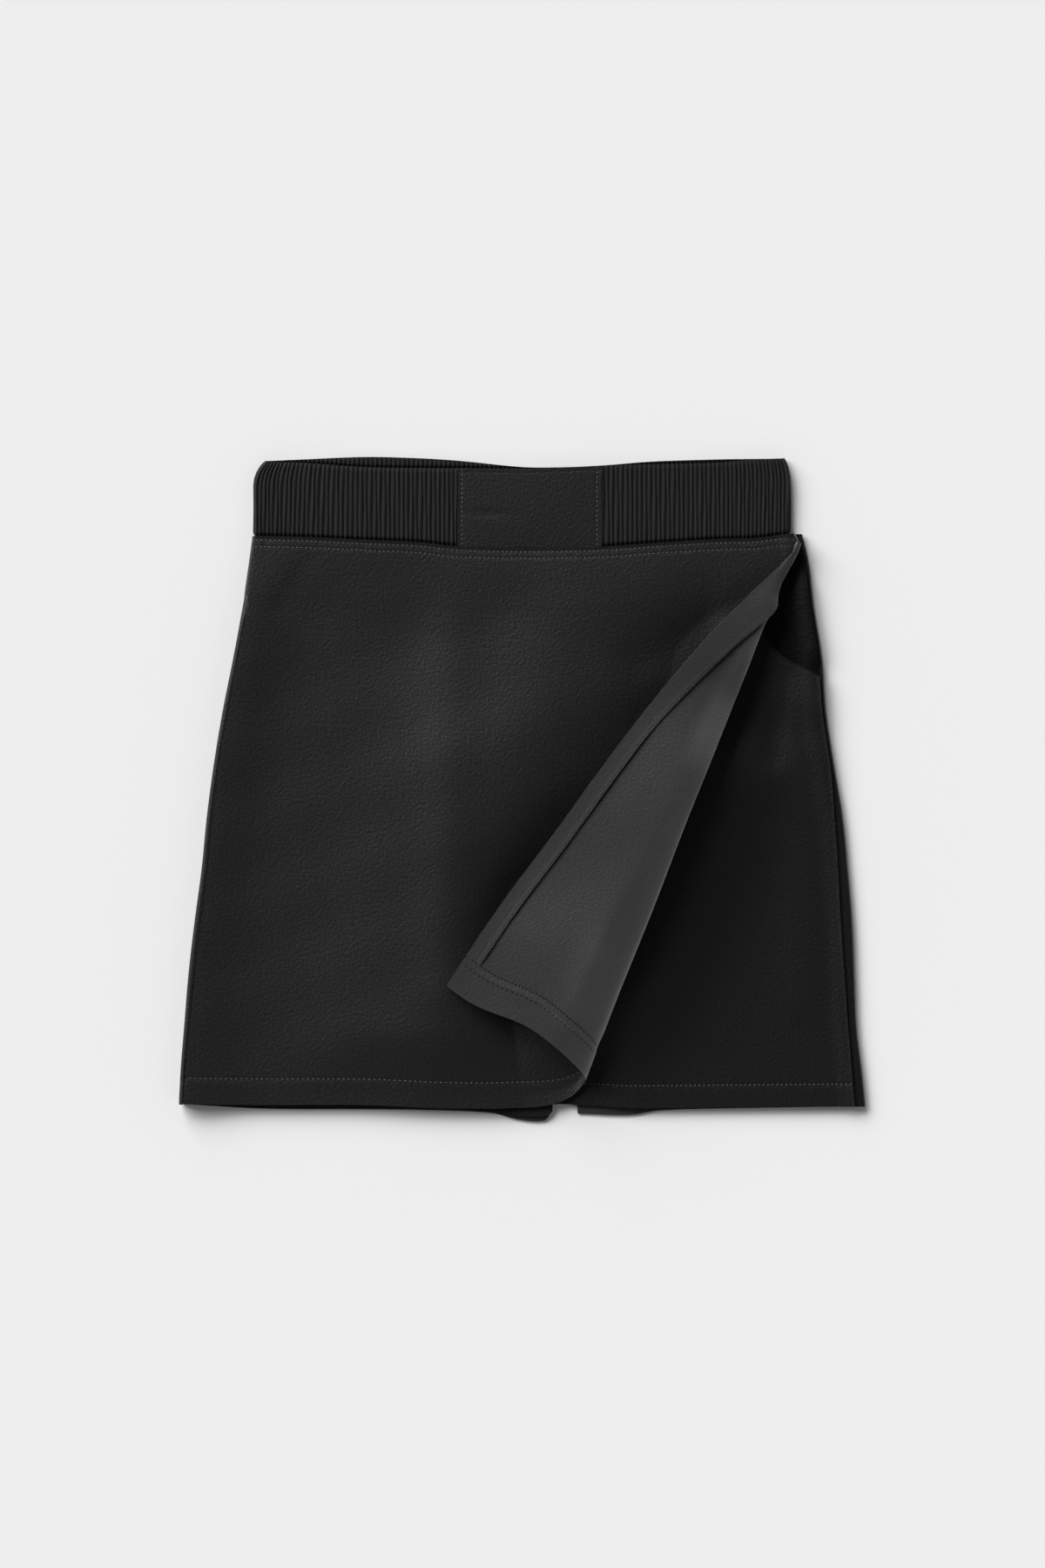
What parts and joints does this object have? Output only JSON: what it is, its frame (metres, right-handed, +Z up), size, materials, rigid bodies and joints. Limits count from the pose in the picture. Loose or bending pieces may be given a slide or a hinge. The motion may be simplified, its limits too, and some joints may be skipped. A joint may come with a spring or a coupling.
{
  "type": "school skort laid flat",
  "caption": "Black school skort laid flat, front up: shorts under a wrap-over skirt front folded back along its free edge, with a ribbed elastic waistband.",
  "frame": {"origin": "centre of the garment's outline, on the surface it lies on", "axes": "+X to the right of the garment as seen from above, +Y from the hem to the waist, +Z up from the surface, out of its front"},
  "size_m": [0.3936, 0.3812, 0.0256],
  "materials": {
    "twill": "fine black stretch twill, matt with a faint nap, paler on its inside where the light rakes it",
    "rib": "black ribbed elastic knit, matt, upright ribs about 2.7 mm apart"
  },
  "bodies": {
    "root": {"waist_rib": "rib", "waist_tab": "twill", "shorts_back_left": "twill", "shorts_back_right": "twill", "shorts_front_left": "twill", "shorts_front_right": "twill", "pocket_facing_right": "twill", "wrap_panel": "twill", "wrap_facing": "twill"}
  },
  "joints": []
}
